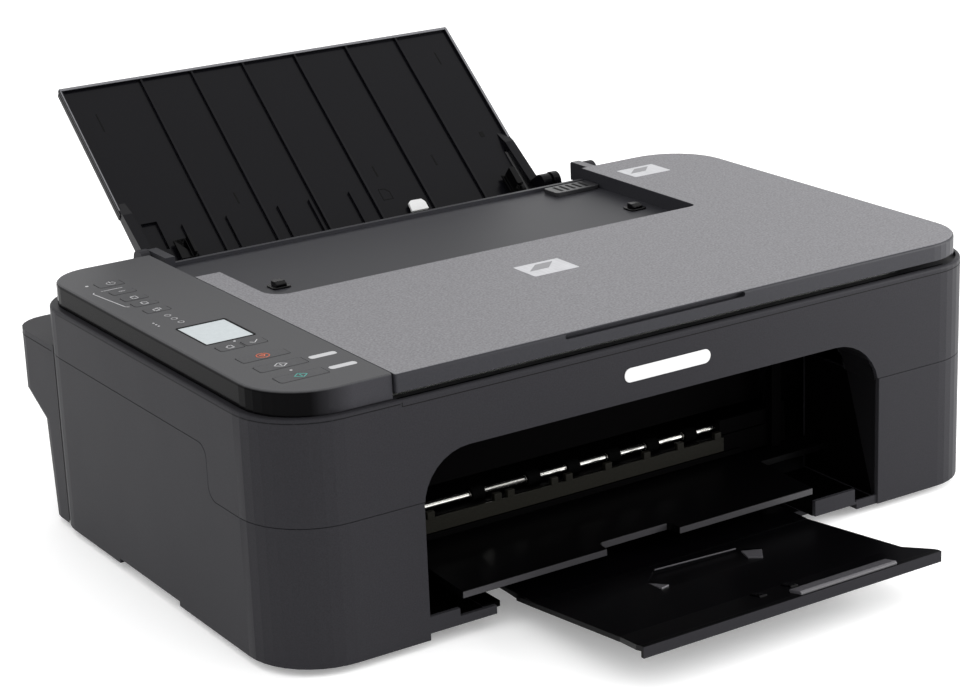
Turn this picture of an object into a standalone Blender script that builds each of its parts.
"""Desktop all-in-one inkjet printer, modelled as an assembly of separate parts.

Lengths in the constants and in the shape functions are millimetres; every mesh is
scaled to metres when it is made.  X runs to the right, Y from the front face of the
casing to the back, Z up from the surface the printer stands on.  The model rests with
the paper support open and the output tray drawn out.
"""
import math

import bmesh
import bpy
from mathutils import Matrix, Vector

MM = 0.001
GAP = 0.35                      # clearance kept between neighbouring mouldings

# --- casing ---------------------------------------------------------------------
HALF_WIDTH = 217.5
CASE_DEPTH = 268.0              # front face to the back of the hood
TOP_Z = 141.0                   # closed lid
UNDERSIDE_Z = 4.0               # lower edge of the casing, held up by the feet
RIM_Z = 128.5                   # rounded rim round the top of the hood
LEDGE_Z = 126.0                 # the lid closes over this ledge inside the rim
FRONT_SEAM_Z = 75.0             # parting line of hood and lower case at the front
SIDE_SEAM_Z = 102.0             # and along the sides
SEAM_STEP_Y = 69.0              # where the parting line steps up
WALL = 2.5
FRONT_LEFT_RADIUS = 38.0
FRONT_RIGHT_RADIUS = 32.0
REAR_RADIUS = 30.0
BAND_INSET = 4.0                # lid and panel stand this far inside the hood's wall
EDGE_RADIUS = 1.5               # rounding of the outer top edges

# --- output bay -----------------------------------------------------------------
BAY_LEFT = -139.0
BAY_RIGHT = 143.0
BAY_TOP = 98.5
BAY_LEFT_RADIUS = 26.0
BAY_RIGHT_RADIUS = 30.0
BAY_DEPTH = 62.0
NOTCH_LEFT = -101.0             # cut-out in the front lip that the tray slides through
NOTCH_RIGHT = 99.6
NOTCH_POCKET = (-76.0, 36.0)    # right and rear ends of the deeper cut left of the tray
LIP_TOP = 16.2
LIP_BOTTOM = 7.5
LOW_LIP_LEFT = -122.0           # between here and the cut-out the lip is lower
LOW_LIP_TOP = 12.0
RIGHT_LIP_END = 127.0           # a narrow slot parts the right lip from a low sill
SILL_LEFT = 129.0
SILL_TOP = 9.0
FLOOR_Z = UNDERSIDE_Z + 3.0     # upper face of the casing's floor
SIDE_CUT_Y = (112.0, 181.0)     # raised stretch of the sides' lower edge
SIDE_CUT_Z = 6.5

# --- rear housing ---------------------------------------------------------------
REAR_HALF_WIDTH = 215.5
REAR_TOP_Z = 105.0
REAR_RADIUS_OUTER = 18.0
REAR_STEPS = ((4.0, 278.5), (59.0, 282.5), (71.0, 305.0), (REAR_TOP_Z, 305.0))
REAR_WALL = 2.4
SHEET_SLOT = ((-134.5, 134.5), (260.0, 299.5))

# --- paper support --------------------------------------------------------------
SUPPORT_AXIS = (292.7, 126.4)   # y and z of the support's hinge
SUPPORT_SLOPE = math.radians(40.0)
SUPPORT_FACE = (321.65, 135.0)  # a point of the sheet-bearing face, where s = 0
SUPPORT_HALF_WIDTH = 134.0
SUPPORT_TOP_S = 109.5
SUPPORT_BOTTOM_S = -26.0
SUPPORT_THICKNESS = 2.6
RIB_HEIGHT = 1.6
LONG_RIBS_X = (-81.6, -48.1, -13.5, 22.5, 58.8, 95.0)
SHORT_RIBS_X = (-100.4, -71.9, -38.1, -17.3, 10.0)

# --- lid ------------------------------------------------------------------------
LID_LEFT = -150.3
LID_FRONT_Y = 1.8
LID_REAR_Y = 261.0
LID_BOTTOM = 130.7
LID_RADII = (1.0, 31.0, 36.0, 1.0)
LID_WALL = 5.0
RECESS_HALF_WIDTH = 136.0
RECESS_FRONT_Y = 147.0
RECESS_FLOOR = 132.3
STRIP_REAR_Y = 205.5            # the strip left of the recess ends here
LID_AXIS = (272.0, 135.0)
LID_KNUCKLE = 5.4
GRIP_HALF_WIDTH = 55.0          # groove in the lid's front edge for the fingers
GRIP_Z = (137.7, 140.3)
GRIP_DEPTH = 3.0
LID_FRONT_BOTTOM = 131.7         # the front wall stops higher and leaves a wider gap

# --- scanner ----------------------------------------------------------------------
BED_X = (-149.4, 169.4)
BED_Y = (14.6, 249.4)
BED_Z = (101.2, 122.6)
BED_WALL = 2.0
BED_RAIL_Y = (131.0, 137.0)
GLASS_Z = (122.95, 125.75)
PAD_Z = (126.1, 130.35)

# --- hood hinge -----------------------------------------------------------------
HOOD_AXIS = (276.0, 113.0)
HINGE_RADIUS = 7.0
HOOD_LUG_X = (167.0, 182.5)
HINGE_POST_X = (183.5, 190.0)

# --- output tray ----------------------------------------------------------------
TRAY_SLOPE = math.radians(6.4)
SCOOP_SLOPE = math.radians(10.2)
TRAY_AXIS = (8.0, 10.0)
TRAY_FRONT_Y = -106.0
TRAY_HALF_WIDTH = 86.5
TRAY_LIP_HALF_WIDTH = 90.5
STOP_AXIS = (-96.5, 24.6)
STOP_SLOPE = math.radians(12.0)
STOP_X = (3.0, 63.0)
STOP_LENGTH = 8.2

# --- mechanism ------------------------------------------------------------------
SHAFT_Z = 44.5
DISCHARGE_AXIS = (62.0, SHAFT_Z)
DISCHARGE_RADIUS = 1.7
NIP_ROLLERS_X = (-72, -38, -13, 13, 38, 63)
FEED_AXIS = (118.0, SHAFT_Z)
TRANSFER_AXIS = (85.0, SHAFT_Z)
MOTOR_AXIS = (139.65, SHAFT_Z - 12.5)
PICKUP_AXIS = (242.1, 84.3)
GEAR_MODULE = 1.0
GEAR_LEFT = -135.0
GEAR_RIGHT = -129.5
BELT_Y = 158.5
BELT_PULLEY_X = (-193.0, 193.0)
PULLEY_RADIUS = 5.5

# --- inlets at the rear ---------------------------------------------------------
POWER_X = (-180.0, -156.0)
POWER_Z = (12.0, 34.0)
USB_X = (166.0, 182.0)
USB_Z = (13.9, 27.0)

# --- x, y and z ranges of the inner parts -----------------------------------------
PLATEN_BOX = ((-119.5, 119.5), (57.0, 110.0), (29.0, 40.4))
PLATEN_FRONT = ((-127.0, 118.0), (55.2, 58.5), (29.0, 41.4))
BEARING_X = (119.0, 125.0)
BEARING_TOP = 51.0
STAY_X = (-127.0, -122.0)
STUD_RADIUS = 1.8
POST_BOX = ((112.0, 118.0), (51.0, 56.0), (29.0, 96.0))
RAIL_X = (-206.0, 206.0)
RAIL_Y = (147.0, 149.0)
RAIL_Z = (50.0, 94.0)
RAIL_FLANGE_Y = 172.0
CARRIAGE_BOX = ((118.0, 202.0), (70.0, 144.0), (53.0, 92.0))
CARRIAGE_PIVOT = (160.0, 107.0, 72.0)
CARTRIDGE_BAYS_X = ((121.0, 158.5), (161.5, 199.0))
CARRIAGE_NOSE = ((126.0, 194.0), (76.0, 104.0), (43.0, 54.0))
PURGE_BOX = ((125.6, 198.0), (72.0, 108.0), (10.0, 39.0))
PURGE_CUPS_X = ((129.0, 157.0), (163.0, 191.0))
PURGE_CUPS_Y = (78.0, 102.0)
PURGE_CUPS_TOP = 42.4
ABSORBER_BOX = ((-88.0, 92.0), (168.0, 214.0), (7.4, 24.0))
SUPPLY_BOX = ((-200.0, -134.0), (176.0, 252.0), (7.4, 50.0))
BOARD_BOX = ((128.0, 195.0), (178.0, 250.0), (12.0, 13.6))
FOOT_X = 178.0
FEET_Y = (("front", 34.0), ("rear", 232.0))
FOOT_RADIUS = 9.0

# The origin lies under the middle of the whole object's box.
SUPPORT_BACK_Y = (SUPPORT_FACE[0] + SUPPORT_TOP_S * math.cos(SUPPORT_SLOPE)
                  + SUPPORT_THICKNESS * math.sin(SUPPORT_SLOPE))
ORIGIN_Y = (TRAY_FRONT_Y + SUPPORT_BACK_Y) / 2

# --- control panel keys: name, x range, y range ----------------------------------
KEYS = (
    ("power_button", (-198.5, -184.5), (219.0, 228.5)),
    ("wireless_button", (-198.5, -185.5), (202.6, 210.0)),
    ("page_size_button", (-198.5, -185.5), (188.6, 196.0)),
    ("paper_button", (-198.5, -185.5), (176.4, 183.8)),
    ("copies_button", (-198.5, -185.5), (162.2, 169.6)),
    ("menu_button", (-198.0, -185.2), (83.4, 91.4)),
    ("ok_button", (-184.0, -172.6), (83.4, 91.4)),
    ("stop_button", (-198.0, -172.8), (60.9, 70.2)),
    ("black_start_button", (-198.0, -172.6), (43.3, 52.6)),
    ("color_start_button", (-198.0, -172.4), (23.9, 33.2)),
)
DISPLAY_X = (-198.6, -172.6)
DISPLAY_Y = (97.8, 130.0)


# --- scene and material helpers ---------------------------------------------------
def clear_scene():
    for old in list(bpy.data.objects):
        bpy.data.objects.remove(old, do_unlink=True)


def material(name, colour, roughness, metallic=0.0, transmission=0.0):
    made = bpy.data.materials.new(name)
    made.use_nodes = True
    shader = made.node_tree.nodes["Principled BSDF"]
    shader.inputs["Base Color"].default_value = (*colour, 1.0)
    shader.inputs["Roughness"].default_value = roughness
    shader.inputs["Metallic"].default_value = metallic
    shader.inputs["Transmission Weight"].default_value = transmission
    return made


def place(name, mesh, finish, pivot=(0.0, 0.0, 0.0)):
    """Turn a mesh in millimetres into an object whose origin is its pivot."""
    shift = Vector(pivot)
    bmesh.ops.translate(mesh, verts=mesh.verts, vec=-shift)
    bmesh.ops.scale(mesh, verts=mesh.verts, vec=(MM, MM, MM))
    data = bpy.data.meshes.new(name)
    mesh.to_mesh(data)
    mesh.free()
    made = bpy.data.objects.new(name, data)
    bpy.context.scene.collection.objects.link(made)
    made.parent = FRAME
    made.location = shift * MM
    if finish is not None:
        data.materials.append(finish)
    return made


def combine(target, shape, operation):
    """Add a hidden guide solid to an object's Boolean stack."""
    guide = place(f"{target.name}_guide", shape, None)
    guide.hide_render = True
    guide.display_type = "WIRE"
    step = target.modifiers.new(operation.lower(), "BOOLEAN")
    step.operation = operation
    step.solver = "EXACT"
    step.object = guide
    return target


def cut(target, *shapes):
    for shape in shapes:
        combine(target, shape, "DIFFERENCE")
    return target


def add(target, *shapes):
    for shape in shapes:
        combine(target, shape, "UNION")
    return target


def shade_round(target):
    target.data.shade_smooth()
    target.data.set_sharp_from_angle(angle=math.radians(35))
    return target


# --- shape helpers (millimetres) ---------------------------------------------------
def extrude(outline, axis, low, high):
    """Closed prism: the outline lies across the axis and runs from low to high."""
    places = {"X": lambda u, v, w: (w, u, v),
              "Y": lambda u, v, w: (u, w, v),
              "Z": lambda u, v, w: (u, v, w)}[axis]
    mesh = bmesh.new()
    bottom = mesh.faces.new([mesh.verts.new(places(u, v, low)) for u, v in outline])
    moved = bmesh.ops.extrude_face_region(mesh, geom=[bottom])["geom"]
    raised = [item for item in moved if isinstance(item, bmesh.types.BMVert)]
    bmesh.ops.translate(mesh, verts=raised, vec=Vector(places(0, 0, high - low)))
    bmesh.ops.recalc_face_normals(mesh, faces=mesh.faces)
    return mesh


def loft(levels):
    """Closed solid through like outlines, given as (height, outline) from the bottom."""
    mesh = bmesh.new()
    rings = [[mesh.verts.new((x, y, z)) for x, y in outline] for z, outline in levels]
    mesh.faces.new(rings[0])
    mesh.faces.new(rings[-1])
    for lower, upper in zip(rings, rings[1:]):
        for i, corner in enumerate(lower):
            before = i - 1
            mesh.faces.new((lower[before], corner, upper[i], upper[before]))
    bmesh.ops.recalc_face_normals(mesh, faces=mesh.faces)
    return mesh


def rounded_top(outline_at, bottom, top, steps=3):
    """Solid whose outer top edge is rounded; outline_at gives the plan at an inset."""
    levels = [(bottom, outline_at(0.0))]
    for i in range(steps + 1):
        turn = math.pi / 2 * i / steps
        levels.append((top - EDGE_RADIUS * (1 - math.sin(turn)),
                       outline_at(EDGE_RADIUS * (1 - math.cos(turn)))))
    return loft(levels)


def block(x_range, y_range, z_range):
    (x0, x1), (y0, y1) = x_range, y_range
    return extrude([(x0, y0), (x1, y0), (x1, y1), (x0, y1)], "Z", *z_range)


def arc(centre, radius, start, end, steps):
    """Points on an arc, angles in degrees."""
    angles = [math.radians(start + (end - start) * i / steps) for i in range(steps + 1)]
    return [(centre[0] + radius * math.cos(a), centre[1] + radius * math.sin(a))
            for a in angles]


def rounded(x_range, y_range, radii, steps=6):
    """Rectangle with its own radius at each corner, from front left anticlockwise."""
    (x0, x1), (y0, y1) = x_range, y_range
    corners = ((x0, y0, 1, 1, 180), (x1, y0, -1, 1, 270),
               (x1, y1, -1, -1, 0), (x0, y1, 1, -1, 90))
    points = []
    for (x, y, toward_x, toward_y, start), radius in zip(corners, radii):
        if radius:
            centre = (x + toward_x * radius, y + toward_y * radius)
            points += arc(centre, radius, start, start + 90, steps)
        else:
            points.append((x, y))
    return points


def disc(centre, radius, axis, low, high, sides=24):
    return extrude(arc(centre, radius, 0, 360 - 360 / sides, sides - 1), axis, low, high)


def case_outline(inset=0.0, steps=10):
    """Plan of the casing, drawn in by the inset."""
    rear = REAR_RADIUS - inset
    half = HALF_WIDTH - inset
    return rounded((-half, half), (inset, CASE_DEPTH - inset),
                   (FRONT_LEFT_RADIUS - inset, FRONT_RIGHT_RADIUS - inset, rear, rear), steps)


def seam_region(shift):
    """Side view of everything above the parting line, moved up by the shift."""
    low = FRONT_SEAM_Z + shift
    high = SIDE_SEAM_Z + shift
    step = SEAM_STEP_Y - shift
    bend = 7.0
    curve = arc((step - bend, low + bend), bend, 270, 360, 5)
    curve += arc((step + bend, high - bend), bend, 180, 90, 5)
    far = CASE_DEPTH + 60
    return [(-20, low)] + curve + [(far, high), (far, TOP_Z + 60), (-20, TOP_Z + 60)]


def gear_outline(centre, teeth, turn):
    """Straight-flanked teeth, thin enough to run with clearance."""
    pitch_radius = GEAR_MODULE * teeth / 2
    root = pitch_radius - 1.05 * GEAR_MODULE
    tip = pitch_radius + 0.75 * GEAR_MODULE
    step = 360 / teeth
    points = []
    for tooth in range(teeth):
        middle = turn + tooth * step
        for offset, radius in ((-0.29, root), (-0.12, tip), (0.12, tip), (0.29, root)):
            angle = math.radians(middle + offset * step)
            points.append((centre[0] + radius * math.cos(angle),
                           centre[1] + radius * math.sin(angle)))
    return points


def gear(centre, teeth, turn):
    return extrude(gear_outline(centre, teeth, turn), "X", GEAR_LEFT, GEAR_RIGHT)


def on_support(mesh):
    """Carry a shape from the support's own frame (x, s up the sheet, h off its face)."""
    turn = Matrix.Rotation(SUPPORT_SLOPE, 4, "X")
    shift = Matrix.Translation((0.0, *SUPPORT_FACE))
    bmesh.ops.transform(mesh, matrix=shift @ turn, verts=mesh.verts)
    return mesh


def several(shapes):
    """One mesh that holds several closed shapes that stay apart from each other."""
    whole = bmesh.new()
    for shape in shapes:
        copy = bpy.data.meshes.new("piece")
        shape.to_mesh(copy)
        shape.free()
        whole.from_mesh(copy)
        bpy.data.meshes.remove(copy)
    return whole


# --- casing parts -------------------------------------------------------------------
def lower_case():
    body = place("lower_case", extrude(case_outline(), "Z", UNDERSIDE_Z, SIDE_SEAM_Z + 8),
                 CASE_BLACK)
    through = (-5, 12)
    bay = (BAY_LEFT, BAY_RIGHT)
    cut(body,
        extrude(seam_region(0.0), "X", -260, 260),
        extrude(case_outline(WALL), "Z", FLOOR_Z, 130),
        block(bay, through, (LIP_TOP, 130)),
        block((NOTCH_LEFT, NOTCH_RIGHT), through, (-5, 40)),
        block((NOTCH_LEFT, NOTCH_POCKET[0]), (-5, NOTCH_POCKET[1]), (-5, FLOOR_Z + 1)),
        block((BAY_LEFT, SILL_LEFT), through, (-5, LIP_BOTTOM)),
        block((LOW_LIP_LEFT, NOTCH_LEFT), through, (LOW_LIP_TOP, 40)),
        block((RIGHT_LIP_END, BAY_RIGHT), through, (SILL_TOP, 40)),
        block((SILL_LEFT, BAY_RIGHT), (-5, 1), (-5, 40)))
    for side in (-1, 1):
        edges = sorted((side * (HALF_WIDTH - 3.5), side * (HALF_WIDTH + 10)))
        cut(body, block(edges, SIDE_CUT_Y, (-5, SIDE_CUT_Z)))
    back = (CASE_DEPTH - 8, CASE_DEPTH + 8)
    half = HALF_WIDTH - REAR_RADIUS
    cut(body, block((-half, half), back, (FLOOR_Z + 3, 130)))
    cheek = ((1, BAY_DEPTH), (FLOOR_Z - 1, FRONT_SEAM_Z - 1))
    add(body,
        block((BAY_LEFT - WALL, BAY_LEFT), *cheek),
        block((BAY_RIGHT, BAY_RIGHT + WALL), *cheek))
    return shade_round(body)


def rear_solid(inset):
    """The housing behind the casing, or the room inside it, drawn in by the inset."""
    half = REAR_HALF_WIDTH - inset
    radius = REAR_RADIUS_OUTER - inset
    levels = []
    for z, depth in REAR_STEPS:
        height = min(max(z, UNDERSIDE_Z + inset), REAR_TOP_Z - inset)
        plan = rounded((-half, half), (225, depth - inset), (0, 0, radius, radius))
        levels.append((height, plan))
    return loft(levels)


def hinge_post(side):
    """Post beside the hood's hinge lug, with the pin that the lug turns on."""
    y, z = HOOD_AXIS
    edges = sorted((side * HINGE_POST_X[0], side * HINGE_POST_X[1]))
    foot = REAR_TOP_Z - 1.2
    half = HINGE_RADIUS - 1.5
    outline = arc((y, z), HINGE_RADIUS, 0, 180, 10)
    outline += [(y - half, z), (y - half, foot), (y + half, foot), (y + half, z)]
    pin = sorted((side * (HOOD_LUG_X[0] - 2), side * (HINGE_POST_X[0] + 1)))
    return extrude(outline, "X", *edges), disc((y, z), 3.0, "X", *pin)


def rear_housing():
    body = place("rear_housing", rear_solid(0.0), CASE_BLACK)
    cut(body,
        rear_solid(REAR_WALL),
        extrude(case_outline(-GAP), "Z", -5, 140),
        block(*SHEET_SLOT, (94, 120)))
    for x_range, z_range in ((POWER_X, POWER_Z), (USB_X, USB_Z)):
        cut(body, block(grown(x_range, 0.4), (262, 300), grown(z_range, 0.4)))
    for side in (-1, 1):
        add(body, *hinge_post(side))
    return shade_round(body)


def hood_lug(side):
    """Hinge lug that reaches back from the hood's rear wall."""
    y, z = HOOD_AXIS
    edges = sorted((side * HOOD_LUG_X[0], side * HOOD_LUG_X[1]))
    outline = arc((y, z), HINGE_RADIUS, -90, 90, 10)
    outline += [(CASE_DEPTH - 2, z + HINGE_RADIUS), (CASE_DEPTH - 2, z - HINGE_RADIUS)]
    return extrude(outline, "X", *edges)


def lid_hinge_block(side):
    """Block on the hood's rear that carries one end of the lid's hinge."""
    y, z = LID_AXIS
    edges = sorted((side * 146.3, side * 152.0))
    radius = TOP_Z - z
    outline = arc((y, z), radius, 0, 180, 10)
    outline += [(y - radius, 120), (CASE_DEPTH - 1, 117), (y + radius, 124)]
    return extrude(outline, "X", *edges)


def hood_case():
    body = place("hood_case", rounded_top(case_outline, FRONT_SEAM_Z - 2, RIM_Z),
                 CASE_BLACK, (0.0, *HOOD_AXIS))
    below = [(-20, 0), (340, 0), (340, SIDE_SEAM_Z + GAP)]
    below += list(reversed(seam_region(GAP)[1:-3]))
    below += [(-20, FRONT_SEAM_Z + GAP)]
    bay = rounded((BAY_LEFT, BAY_RIGHT), (40, BAY_TOP),
                  (0, 0, BAY_RIGHT_RADIUS, BAY_LEFT_RADIUS), 8)
    ledge = rounded((LID_LEFT + 0.7, HALF_WIDTH - WALL), (WALL, CASE_DEPTH - WALL),
                    (0, FRONT_RIGHT_RADIUS - WALL, REAR_RADIUS - WALL, 0), 10)
    cut(body,
        extrude(below, "X", -260, 260),
        extrude(case_outline(WALL), "Z", 40, LEDGE_Z - 2),
        extrude(ledge, "Z", LEDGE_Z, 160),
        block(grown(BED_X, 0.6), grown(BED_Y, 0.6), (100, 160)),
        extrude(bay, "Y", -5, 12))
    ceiling = block((BAY_LEFT - WALL, BAY_RIGHT + WALL), (1, BAY_DEPTH), (BAY_TOP, BAY_TOP + 2))
    add(body, ceiling)
    for side in (-1, 1):
        add(body, hood_lug(side), lid_hinge_block(side))
        bore = sorted((side * 160.0, side * 190.0))
        socket = sorted((side * 145.0, side * 150.6))
        cut(body, disc(HOOD_AXIS, 3.4, "X", *bore), disc(LID_AXIS, 2.9, "X", *socket))
    return shade_round(body)


def scanner_bed():
    body = place("scanner_bed", block(BED_X, BED_Y, BED_Z), INNER_BLACK, (0.0, *HOOD_AXIS))
    floor = BED_Z[0] + BED_WALL
    cut(body, block(grown(BED_X, -BED_WALL), grown(BED_Y, -BED_WALL), (floor, 130)))
    rail = block(grown(BED_X, -1.4), BED_RAIL_Y, (floor - 1, floor + 2.3))
    return add(body, rail)


def control_panel():
    left = -HALF_WIDTH + BAND_INSET
    right = LID_LEFT - 0.6
    front = BAND_INSET - 0.5

    def outline(inset):
        return rounded((left + inset, right), (front + inset, LID_REAR_Y - inset),
                       (34 - inset, 1, 1, 24 - inset), 10)
    body = place("control_panel", rounded_top(outline, RIM_Z + GAP, TOP_Z),
                 SATIN_BLACK, (0.0, *HOOD_AXIS))
    skin = 2.2
    inner = rounded((left + skin, right - skin), (front + skin, LID_REAR_Y - skin),
                    (34 - skin, 1, 1, 24 - skin), 10)
    cut(body, extrude(inner, "Z", RIM_Z - 5, TOP_Z - 3))
    for x_range, y_range in key_openings():
        plan = rounded(x_range, y_range, (1.6,) * 4, 3)
        cut(body, extrude(plan, "Z", TOP_Z - 8, TOP_Z + 5))
    return shade_round(body)


def grown(limits, margin):
    return (limits[0] - margin, limits[1] + margin)


def key_openings():
    for _, x_range, y_range in KEYS:
        yield grown(x_range, GAP), grown(y_range, GAP)
    yield grown(DISPLAY_X, GAP), grown(DISPLAY_Y, GAP)


def panel_keys():
    """Each key shows through the panel and has a flange below it that keeps it in."""
    for name, x_range, y_range in KEYS:
        pivot = (sum(x_range) / 2, sum(y_range) / 2, TOP_Z)
        cap = place(name, extrude(rounded(x_range, y_range, (1.3,) * 4, 3), "Z", 133.5, TOP_Z + 0.2),
                    SATIN_BLACK, pivot)
        flange = rounded(grown(x_range, 0.6), grown(y_range, 0.9), (1.5,) * 4, 3)
        add(cap, extrude(flange, "Z", 132.5, TOP_Z - 3.4))


def display():
    outline = rounded(DISPLAY_X, DISPLAY_Y, (0.6,) * 4, 2)
    return place("display_window", extrude(outline, "Z", 136, TOP_Z - 0.1), DISPLAY_GREY,
                 (0.0, *HOOD_AXIS))


# --- lid and scanner ------------------------------------------------------------------
def lid_arm(side):
    """Arm behind the lid with its hinge pin; the right one is a square block."""
    y, z = LID_AXIS
    if side > 0:
        top = TOP_Z - 0.2
        bottom = z - LID_KNUCKLE
        outline = [(250, bottom), (278, bottom), (278, top - 1), (277, top), (250, top)]
        edges = (140.2, 145.9)
    else:
        outline = arc((y, z), LID_KNUCKLE, -90, 90, 8)
        outline += [(250, z + LID_KNUCKLE), (250, z - LID_KNUCKLE)]
        edges = (-145.9, -140.2)
    pin = sorted((side * 145.0, side * 150.0))
    return extrude(outline, "X", *edges), disc((y, z), 2.5, "X", *pin)


def cover_outline(inset):
    """Plan of the lid; its left edge runs straight along the control panel."""
    front_left, front_right, rear_right, rear_left = LID_RADII
    return rounded((LID_LEFT, HALF_WIDTH - BAND_INSET - inset),
                   (LID_FRONT_Y + inset, LID_REAR_Y - inset),
                   (front_left, front_right - inset, rear_right - inset, rear_left), 10)


def document_cover():
    body = place("document_cover", rounded_top(cover_outline, LID_BOTTOM, TOP_Z),
                 LID_GREY, (0.0, *LID_AXIS))
    half = RECESS_HALF_WIDTH
    far = LID_REAR_Y + 40
    well = rounded((-half, half), (RECESS_FRONT_Y, far), (12, 4, 0, 0), 6)
    corner = [(LID_LEFT - 20, STRIP_REAR_Y), (0, STRIP_REAR_Y), (0, far), (LID_LEFT - 20, far)]
    right = HALF_WIDTH - BAND_INSET - LID_WALL
    under = (LID_BOTTOM - 10, TOP_Z - 3)
    front_room = rounded((LID_LEFT + 3.3, right), (LID_FRONT_Y + LID_WALL, RECESS_FRONT_Y - 4),
                         (1, LID_RADII[1] - LID_WALL, 1, 1), 6)
    side_room = rounded((half + 3.5, right), (RECESS_FRONT_Y - 6, LID_REAR_Y - LID_WALL),
                        (1, 1, LID_RADII[2] - LID_WALL, 1), 6)
    grip = rounded((-GRIP_HALF_WIDTH, GRIP_HALF_WIDTH), GRIP_Z, (1.2,) * 4, 4)
    cut(body,
        extrude(well, "Z", RECESS_FLOOR, 150),
        extrude(corner, "Z", RECESS_FLOOR, 150),
        extrude(front_room, "Z", *under),
        extrude(side_room, "Z", *under),
        extrude(grip, "Y", -2, LID_FRONT_Y + GRIP_DEPTH),
        block((LID_LEFT - 5, HALF_WIDTH), (-2, LID_FRONT_Y + LID_WALL + 1),
              (LID_BOTTOM - 2, LID_FRONT_BOTTOM)))
    lip = block((LID_LEFT + 1.3, half + 0.5), (LID_REAR_Y - 3, LID_REAR_Y - 0.2),
                (RECESS_FLOOR - 1, RECESS_FLOOR + 2))
    add(body, lip)
    for side in (-1, 1):
        add(body, *lid_arm(side))
    return shade_round(body)


def cover_pad():
    return place("cover_pad", block((-146, 166), (19, 245), PAD_Z), PAD_WHITE,
                 (0.0, *LID_AXIS))


def platen_glass():
    return place("platen_glass", block(BED_X, BED_Y, GLASS_Z), GLASS, (0.0, *HOOD_AXIS))


def scan_carriage():
    top = GLASS_Z[0] - 0.7
    body = place("scan_carriage", block((-144, -124), (20, 244), (108, top)), INNER_BLACK,
                 (-134.0, 134.0, 115.0))
    cut(body, block((-136, -132), (24, 240), (top - 3.5, top + 8)))
    foot = block((-143, -125), grown(BED_RAIL_Y, 1.5), (105.9, 109))
    return add(body, foot)


# --- paper support and guides --------------------------------------------------------------
def support_arm(side):
    """Arm that runs down from the panel's shoulder, with a lug out to the hinge."""
    pivot_s = (-SUPPORT_FACE[0] + SUPPORT_AXIS[0]) * math.cos(SUPPORT_SLOPE)
    pivot_s += (SUPPORT_AXIS[1] - SUPPORT_FACE[1]) * math.sin(SUPPORT_SLOPE)
    pivot_h = (SUPPORT_FACE[0] - SUPPORT_AXIS[0]) * math.sin(SUPPORT_SLOPE)
    pivot_h += (SUPPORT_AXIS[1] - SUPPORT_FACE[1]) * math.cos(SUPPORT_SLOPE)
    outline = arc((pivot_s, pivot_h), 5.5, 90, 180, 6)
    outline += [(pivot_s - 5.5, -SUPPORT_THICKNESS), (24, -SUPPORT_THICKNESS), (24, -0.4),
                (13, 3.2), (-20, 5.5), (pivot_s + 5.5, pivot_h)]
    outline += arc((pivot_s, pivot_h), 5.5, 15, 75, 4)
    edges = sorted((side * 127.2, side * 133.4))
    pin = sorted((side * 132.0, side * 138.6))
    return (on_support(extrude(outline, "X", *edges)),
            on_support(disc((pivot_s, pivot_h), 2.5, "X", *pin)))


def paper_support():
    half = SUPPORT_HALF_WIDTH
    top = SUPPORT_TOP_S
    panel = [(-125.6, SUPPORT_BOTTOM_S), (125.6, SUPPORT_BOTTOM_S), (125.6, 9), (half, 14),
             (half, top - 2), (half - 2, top), (2 - half, top), (-half, top - 2),
             (-half, 14), (-125.6, 9)]
    body = place("paper_support", on_support(extrude(panel, "Z", -SUPPORT_THICKNESS, 0)),
                 SATIN_BLACK, (0.0, *SUPPORT_AXIS))
    rim = [block((-half + 0.5, half - 0.5), (top - 2.4, top - 0.3), (-1, RIB_HEIGHT))]
    rim += [block(sorted((side * (half - 0.2), side * (half - 2.2))), (14.5, top - 1.5),
                  (-1, RIB_HEIGHT)) for side in (-1, 1)]
    for shape in rim:
        add(body, on_support(shape))
    ribs = [block((x - 0.6, x + 0.6), (-24, top - 2), (-1, RIB_HEIGHT)) for x in LONG_RIBS_X]
    ribs += [block((x - 0.6, x + 0.6), (-24, 0.5), (-1, RIB_HEIGHT)) for x in SHORT_RIBS_X]
    add(body, on_support(several(ribs)))
    for side in (-1, 1):
        add(body, *support_arm(side))
    window = block((-124.0, -114.0), (-13.5, 6.5), (-1.8, 9))
    cut(body, on_support(window))
    return body


def paper_guide(name, side, fin, thickness, height):
    """Sheet guide that slides across the ribs on the lower part of the support."""
    foot = sorted((side * (fin - 2), side * (fin + 9)))
    low = RIB_HEIGHT + 0.35
    body = place(name, on_support(block(foot, (-24, -10.6), (low, low + 1.6))), INNER_BLACK,
                 (side * fin, *SUPPORT_AXIS))
    wall = sorted((side * fin, side * (fin + thickness)))
    add(body, on_support(block(wall, (-23.6, -11), (low + 0.5, height))))
    return body


def support_bracket(name, side):
    y, z = SUPPORT_AXIS
    edges = sorted((side * 134.9, side * 139.6))
    sole = REAR_TOP_Z + GAP
    outline = arc((y, z), 6.0, 0, 180, 10) + [(y - 11, sole), (y + 12, sole)]
    body = place(name, extrude(outline, "X", *edges), INNER_BLACK)
    return shade_round(cut(body, disc((y, z), 2.85, "X", *grown(edges, 2))))


def paper_chute():
    """Sloping floor that carries the sheets from the support down to the feed."""
    body = place("paper_chute", on_support(block((-122, 122), (-105, -27.5), (-2.5, 0))),
                 INNER_BLACK)
    fins = [block((x - 0.8, x + 0.8), (-103, -29), (-1, 1.2)) for x in (-90, -60, 60, 90)]
    add(body, on_support(several(fins)))
    y, z = PICKUP_AXIS
    for side in (-1, 1):
        edges = sorted((side * 66.0, side * 70.0))
        outline = arc((y, z), 6.0, 0, 180, 10) + [(y - 6, 66.5), (y + 6, 72)]
        add(body, extrude(outline, "X", *edges))
        cut(body, disc((y, z), 3.35, "X", *grown(edges, 1)))
    return body


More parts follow.
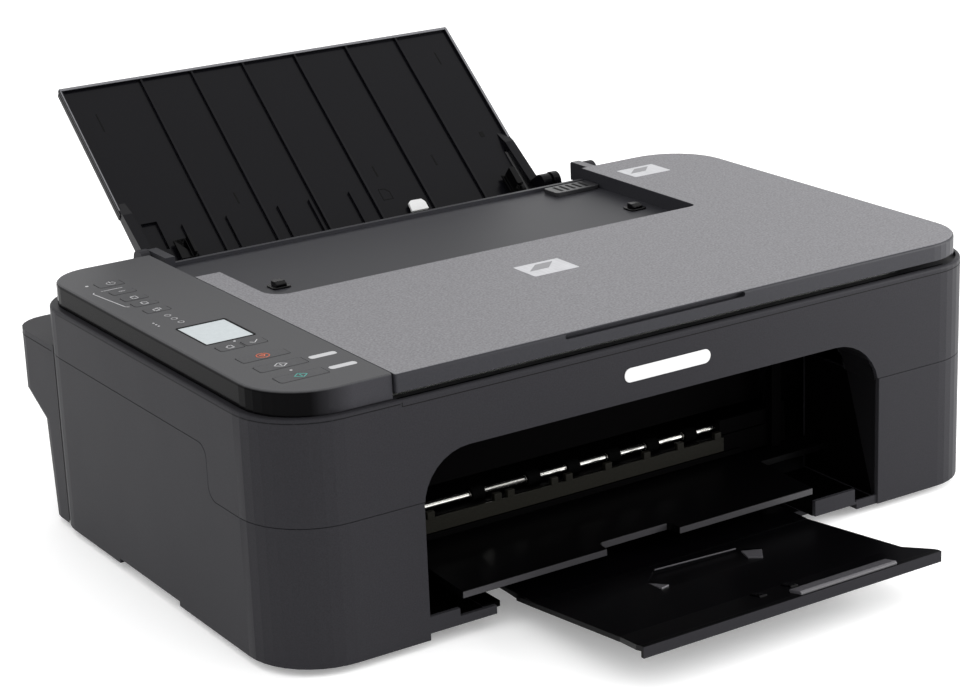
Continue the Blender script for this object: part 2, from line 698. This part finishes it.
# --- output tray --------------------------------------------------------------------------
def output_tray():
    top = [(-8, 12.6), (-81, 20.8), (-103.5, 25.6)]
    outline = [(TRAY_AXIS[0], 11.0)] + top + [(TRAY_FRONT_Y, 25.6), (TRAY_FRONT_Y, 20.0),
                                            (-103.9, 20.0), (-103.9, 23.0), (-81, 18.2),
                                            (-8, 10.0), (TRAY_AXIS[0], 8.4)]
    wide = TRAY_LIP_HALF_WIDTH
    body = place("output_tray", extrude(outline, "X", -wide, wide), INNER_BLACK,
                 (0.0, *TRAY_AXIS))
    y, z = TRAY_AXIS
    add(body, disc((y, z), 2.3, "X", -77.5, 77.5, 16))
    slim = TRAY_HALF_WIDTH
    for side in (-1, 1):
        edge = [(side * slim, 40), (side * slim, -82), (side * wide, -100),
                (side * (wide + 20), -100), (side * (wide + 20), 40)]
        if side < 0:
            edge.reverse()
        corner = block(sorted((side * 77.9, side * 100)), (5.1, 20), (0, 30))
        cut(body, extrude(edge, "Z", -5, 50), corner)
        socket = sorted((side * 73.5, side * 90.0))
        cut(body, disc((y, z), 1.3, "X", *socket, 12))
    under = [(-12, 12), (-12, 10.2), (-54, 14.7), (-54, 17)]
    add(body, extrude(under, "X", -36, 44))
    return cut(body, finger_scoop(), stop_shape(grown(STOP_X, 0.5), 0.7, 5.0, 1.35))


def finger_scoop():
    """Hollow behind the middle of the tray whose floor rises to the front."""
    back = (-16.0, 11.6)
    plan = [(-18.5, 0.0), (-31.5, -13.0), (-33.0, -27.0), (28.5, -28.5), (40.0, -14.5),
            (31.5, -4.0)]
    scoop = extrude(plan, "Z", 0, 15)
    move = Matrix.Translation((0.0, *back)) @ Matrix.Rotation(-SCOOP_SLOPE, 4, "X")
    bmesh.ops.transform(scoop, matrix=move, verts=scoop.verts)
    return scoop


def stop_shape(x_range, margin, height, depth):
    """Box laid along the stop flap: margin round it, height above and depth below."""
    shape = block(x_range, (-STOP_LENGTH - margin, 1.0 + margin), (-depth, height))
    move = Matrix.Translation((0.0, *STOP_AXIS)) @ Matrix.Rotation(-STOP_SLOPE, 4, "X")
    bmesh.ops.transform(shape, matrix=move, verts=shape.verts)
    return shape


def tray_runner():
    body = place("tray_runner", block((-84, 84), (14.5, 36), (8.2, 11.2)), INNER_BLACK,
                 (0.0, *TRAY_AXIS))
    y, z = TRAY_AXIS
    for side in (-1, 1):
        lug = sorted((side * 78.2, side * 84.0))
        pin = sorted((side * 74.5, side * 79.0))
        outline = arc((y, z), 2.3, 90, 270, 8) + [(18, z - 1.8), (18, z + 1.2)]
        add(body, extrude(outline, "X", *lug), disc((y, z), 0.9, "X", *pin, 12))
    return body


def paper_stop():
    """Flap at the tray's front edge that folds up to stop the sheets."""
    half = 1.0
    outline = arc((0.0, 0.0), half, -90, 90, 8)
    outline += [(-STOP_LENGTH + 1, half), (-STOP_LENGTH, 0.2), (-STOP_LENGTH, -half)]
    body = extrude(outline, "X", *STOP_X)
    move = Matrix.Translation((0.0, *STOP_AXIS)) @ Matrix.Rotation(-STOP_SLOPE, 4, "X")
    bmesh.ops.transform(body, matrix=move, verts=body.verts)
    return place("paper_stop", body, SATIN_BLACK, (0.0, *STOP_AXIS))


def delivery_deck():
    outline = [(-3, 22.3), (10, 22.6), (54.5, 25.5), (54.5, 28.5), (-3, 26)]
    body = place("delivery_deck", extrude(outline, "X", -138.5, 142.5), INNER_BLACK)
    return cut(body,
               block((-150, -122), (-10, 40), (0, 60)),
               block((95, 150), (-10, 40), (0, 60)),
               extrude(rounded((-37, 8), (-10, 5), (0, 0, 3, 3), 3), "Z", 0, 60))


# --- feed mechanism ---------------------------------------------------------------------
def platen():
    """Support for the sheet under the printing head, with the shafts' bearing plates."""
    slab = place("platen", block(*PLATEN_BOX), INNER_BLACK)
    add(slab, block(*PLATEN_FRONT))
    base = PLATEN_BOX[2][0]
    top = BEARING_TOP
    shape = [(55.5, base), (124, base), (124, top), (113, top), (112, 40), (68, 40),
             (67, top), (57, top)]
    for side in (-1, 1):
        edges = sorted((side * BEARING_X[0], side * BEARING_X[1]))
        add(slab, extrude(shape, "X", *edges))
    add(slab, disc(TRANSFER_AXIS, STUD_RADIUS, "X", -136.5, -120, 16), transfer_stay())
    add(slab, block(*POST_BOX))
    for axis, radius in ((DISCHARGE_AXIS, DISCHARGE_RADIUS + GAP), (FEED_AXIS, 3.15)):
        cut(slab, disc(axis, radius, "X", -140, -117), disc(axis, radius, "X", 117, 140))
    return slab


def transfer_stay():
    """Web on the left bearing plate that carries the transfer gear's stud."""
    y, z = TRANSFER_AXIS
    return extrude([(y - 6, 36), (y + 6, 36), (y + 3, z + 2.5), (y - 3, z + 2.5)],
                   "X", *STAY_X)


def discharge_roller():
    y, z = DISCHARGE_AXIS
    shaft = place("discharge_roller", disc((y, z), DISCHARGE_RADIUS, "X", -136.5, 128, 16),
                  STEEL, (0.0, y, z))
    for x in NIP_ROLLERS_X:
        add(shaft, disc((y, z), 3.7, "X", x - 3.8, x + 3.8, 20))
    return shade_round(shaft)


def feed_roller():
    y, z = FEED_AXIS
    shaft = place("feed_roller", disc((y, z), 2.8, "X", -136.5, 128, 20), STEEL, (0.0, y, z))
    return shade_round(add(shaft, disc((y, z), 5.6, "X", -116.5, 116.5, 24)))


def spur_gear(name, axis, teeth, turn, bore, sides=16):
    body = place(name, gear(axis, teeth, turn), GEAR_WHITE, (0.0, *axis))
    return cut(body, disc(axis, bore, "X", GEAR_LEFT - 5, GEAR_RIGHT + 5, sides))


def gear_train():
    """Pinion, feed gear, transfer gear and discharge gear, all in one plane."""
    feed_step = 360 / 40
    transfer_step = 360 / 26
    motor_side = math.degrees(math.atan2(MOTOR_AXIS[1] - FEED_AXIS[1],
                                         MOTOR_AXIS[0] - FEED_AXIS[0]))
    feed_turn = motor_side
    from_feed = (180 - feed_turn) % feed_step / feed_step
    transfer_turn = transfer_step * (0.5 + from_feed)
    from_transfer = (180 - transfer_turn) % transfer_step / transfer_step
    discharge_turn = (360 / 20) * (0.5 + from_transfer)
    pinion_turn = motor_side + 180 + 360 / 10 / 2
    spur_gear("feed_gear", FEED_AXIS, 40, feed_turn, 3.1)
    spur_gear("transfer_gear", TRANSFER_AXIS, 26, transfer_turn, 2.1)
    spur_gear("discharge_gear", DISCHARGE_AXIS, 20, discharge_turn, DISCHARGE_RADIUS + 0.3)
    pinion = place("motor_pinion", gear(MOTOR_AXIS, 10, pinion_turn), GEAR_WHITE,
                   (0.0, *MOTOR_AXIS))
    add(pinion, disc(MOTOR_AXIS, 1.6, "X", GEAR_RIGHT - 1, -127.4, 12))


def feed_motor():
    body = place("feed_motor", disc(MOTOR_AXIS, 12.0, "X", -127, -100, 24), STEEL)
    return shade_round(body)


def pickup_roller():
    y, z = PICKUP_AXIS
    shaft = place("pickup_roller", disc((y, z), 3.0, "X", -74, 74, 20), RUBBER, (0.0, y, z))
    return shade_round(add(shaft, disc((y, z), 12.0, "X", -22, 22, 28)))


# --- carriage -----------------------------------------------------------------------------
def carriage_rail():
    """Upright steel rail with a flange at its foot that carries the belt's pulleys."""
    body = place("carriage_rail", block(RAIL_X, RAIL_Y, RAIL_Z), STEEL)
    base = RAIL_Z[0]
    flange = block(RAIL_X, (RAIL_Y[0] + 1, RAIL_FLANGE_Y), (base, base + 2))
    post = disc((BELT_PULLEY_X[1], BELT_Y), 1.5, "Z", base + 1, 79, 16)
    add(body, flange, post)
    return cut(body, disc((BELT_PULLEY_X[0], BELT_Y), 2.6, "Z", base - 10, base + 10, 16))


def carriage():
    """Open box for two cartridges that hangs from the rail by a hook."""
    body = place("carriage", block(*CARRIAGE_BOX), INNER_BLACK, CARRIAGE_PIVOT)
    left, right = CARTRIDGE_BAYS_X[0][0], CARTRIDGE_BAYS_X[1][1]
    for x_range in CARTRIDGE_BAYS_X:
        cut(body, block(x_range, (74, 138), (56, 100)))
    cut(body, block((left, right), (60, 90), (68, 100)))
    nose = block(*CARRIAGE_NOSE)
    hook = extrude([(140, 90), (143.9, 90), (143.9, 94.7), (149.8, 94.7), (149.8, 68),
                    (151.4, 68), (151.4, 97), (140, 97)], "X", 140, 180)
    return add(body, nose, hook)


def cartridge(name, x_range, finish):
    x0, x1 = x_range
    outline = [(92, 56.4), (137, 56.4), (137, 96), (92, 96), (75, 79), (75, 56.4)]
    body = place(name, extrude(outline, "X", x0, x1), finish, CARRIAGE_PIVOT)
    grip = block((x0 + 8, x1 - 8), (70.5, 78), (70, 74))
    return add(body, grip)


def encoder_strip():
    return place("encoder_strip", block((-205, 205), (145.35, 145.65), (83, 90)), STRIP_CLEAR)


def drive_belt():
    """Toothed belt that runs round the two pulleys behind the rail."""
    def loop(radius):
        (left, right), y = BELT_PULLEY_X, BELT_Y
        return arc((right, y), radius, -90, 90, 8) + arc((left, y), radius, 90, 270, 8)
    body = place("drive_belt", extrude(loop(PULLEY_RADIUS + 1.2), "Z", 71, 75), RUBBER)
    return cut(body, extrude(loop(PULLEY_RADIUS + 0.2), "Z", 60, 90))


def pulley(name, x, bored):
    body = place(name, disc((x, BELT_Y), PULLEY_RADIUS, "Z", 70, 76, 24), GEAR_WHITE,
                 (x, BELT_Y, 73.0))
    if bored:
        cut(body, disc((x, BELT_Y), 1.8, "Z", 60, 90, 16))
    else:
        add(body, disc((x, BELT_Y), 1.5, "Z", 50.2, 71, 16))
    return shade_round(body)


def carriage_motor():
    body = place("carriage_motor", disc((BELT_PULLEY_X[0], BELT_Y), 13.0, "Z", 20, 49.6, 28),
                 STEEL)
    return shade_round(body)


def purge_unit():
    """Parking station with a cup below each cartridge."""
    body = place("purge_unit", block(*PURGE_BOX), INNER_BLACK)
    floor = PURGE_BOX[2][1] + 1
    cups = [block(x_range, PURGE_CUPS_Y, (floor - 2, PURGE_CUPS_TOP)) for x_range in PURGE_CUPS_X]
    rooms = [block(grown(x_range, -2), grown(PURGE_CUPS_Y, -2), (floor, PURGE_CUPS_TOP + 8))
             for x_range in PURGE_CUPS_X]
    add(body, several(cups))
    return cut(body, several(rooms))


# --- electrics, absorber and feet ------------------------------------------------------------
def fixed_block(name, ranges, finish):
    return place(name, block(*ranges), finish)


def power_inlet():
    body = place("power_inlet", block(POWER_X, (254, 280.3), POWER_Z), INNER_BLACK)
    middle = sum(POWER_Z) / 2
    mouth = rounded(grown(POWER_X, -4), grown(POWER_Z, -5), (5.5,) * 4, 5)
    cut(body, extrude(mouth, "Y", 267.8, 300))
    pins = several([disc((x, middle), 1.2, "Y", 266.8, 275.8, 10) for x in (-172.0, -164.0)])
    return add(body, pins)


def usb_port():
    body = place("usb_port", block(USB_X, (251, 279.6), USB_Z), STEEL)
    cut(body, block(grown(USB_X, -2), (262.6, 300), grown(USB_Z, -2)))
    return add(body, block((170.5, 177.5), (261.6, 274.6), (19, 21.5)))


def main_board():
    """Circuit board on four posts."""
    body = place("main_board", block(*BOARD_BOX), BOARD_GREEN)
    chips = [block((140, 158), (200, 218), (13, 15.6)), block((170, 182), (205, 216), (13, 15)),
             block((150, 190), (182, 188), (13, 20))]
    add(body, several(chips))
    posts = [block((x - 2, x + 2), (y - 2, y + 2), (7.35, 12.5))
             for x in (132, 191) for y in (182, 246)]
    return add(body, several(posts))


def feet():
    for depth, y in FEET_Y:
        for hand, x in (("left", -FOOT_X), ("right", FOOT_X)):
            sole = disc((x, y), FOOT_RADIUS, "Z", 0, UNDERSIDE_Z - 0.3, 24)
            body = place(f"foot_{depth}_{hand}", sole, RUBBER)
            shade_round(body)


def build():
    lower_case()
    rear_housing()
    feet()
    delivery_deck()
    platen()
    discharge_roller()
    feed_roller()
    gear_train()
    feed_motor()
    pickup_roller()
    paper_chute()
    carriage_rail()
    encoder_strip()
    drive_belt()
    pulley("motor_pulley", BELT_PULLEY_X[0], False)
    pulley("idler_pulley", BELT_PULLEY_X[1], True)
    carriage_motor()
    carriage()
    cartridge("black_cartridge", (121.4, 158.1), CARTRIDGE_GREY)
    cartridge("color_cartridge", (161.9, 198.6), CARTRIDGE_GREY)
    purge_unit()
    fixed_block("ink_absorber", ABSORBER_BOX, PAD_WHITE)
    fixed_block("power_supply", SUPPLY_BOX, INNER_BLACK)
    power_inlet()
    usb_port()
    main_board()
    support_bracket("support_bracket_left", -1)
    support_bracket("support_bracket_right", 1)
    paper_support()
    paper_guide("paper_guide_left", -1, 102.6, 1.8, 7.6)
    paper_guide("paper_guide_right", 1, 114.0, 4.0, 11.0)
    tray_runner()
    output_tray()
    paper_stop()
    hood_case()
    scanner_bed()
    scan_carriage()
    platen_glass()
    control_panel()
    panel_keys()
    display()
    document_cover()
    cover_pad()


clear_scene()
FRAME = bpy.data.objects.new("printer_frame", None)
bpy.context.scene.collection.objects.link(FRAME)
FRAME.location = (0.0, -ORIGIN_Y * MM, 0.0)

CASE_BLACK = material("case_black", (0.022, 0.022, 0.024), 0.45)
INNER_BLACK = material("inner_black", (0.010, 0.010, 0.011), 0.5)
SATIN_BLACK = material("satin_black", (0.016, 0.016, 0.018), 0.38)
LID_GREY = material("lid_grey", (0.055, 0.055, 0.060), 0.5)
PAD_WHITE = material("pad_white", (0.75, 0.75, 0.73), 0.9)
GLASS = material("glass", (0.85, 0.92, 0.90), 0.05, transmission=0.9)
DISPLAY_GREY = material("display_grey", (0.55, 0.57, 0.58), 0.25)
STEEL = material("steel", (0.55, 0.55, 0.56), 0.3, 1.0)
RUBBER = material("rubber", (0.012, 0.012, 0.012), 0.85)
GEAR_WHITE = material("gear_white", (0.72, 0.72, 0.70), 0.55)
CARTRIDGE_GREY = material("cartridge_grey", (0.03, 0.03, 0.032), 0.5)
STRIP_CLEAR = material("strip_clear", (0.6, 0.6, 0.6), 0.2, transmission=0.6)
BOARD_GREEN = material("board_green", (0.02, 0.12, 0.05), 0.5)

build()
bpy.context.view_layer.update()
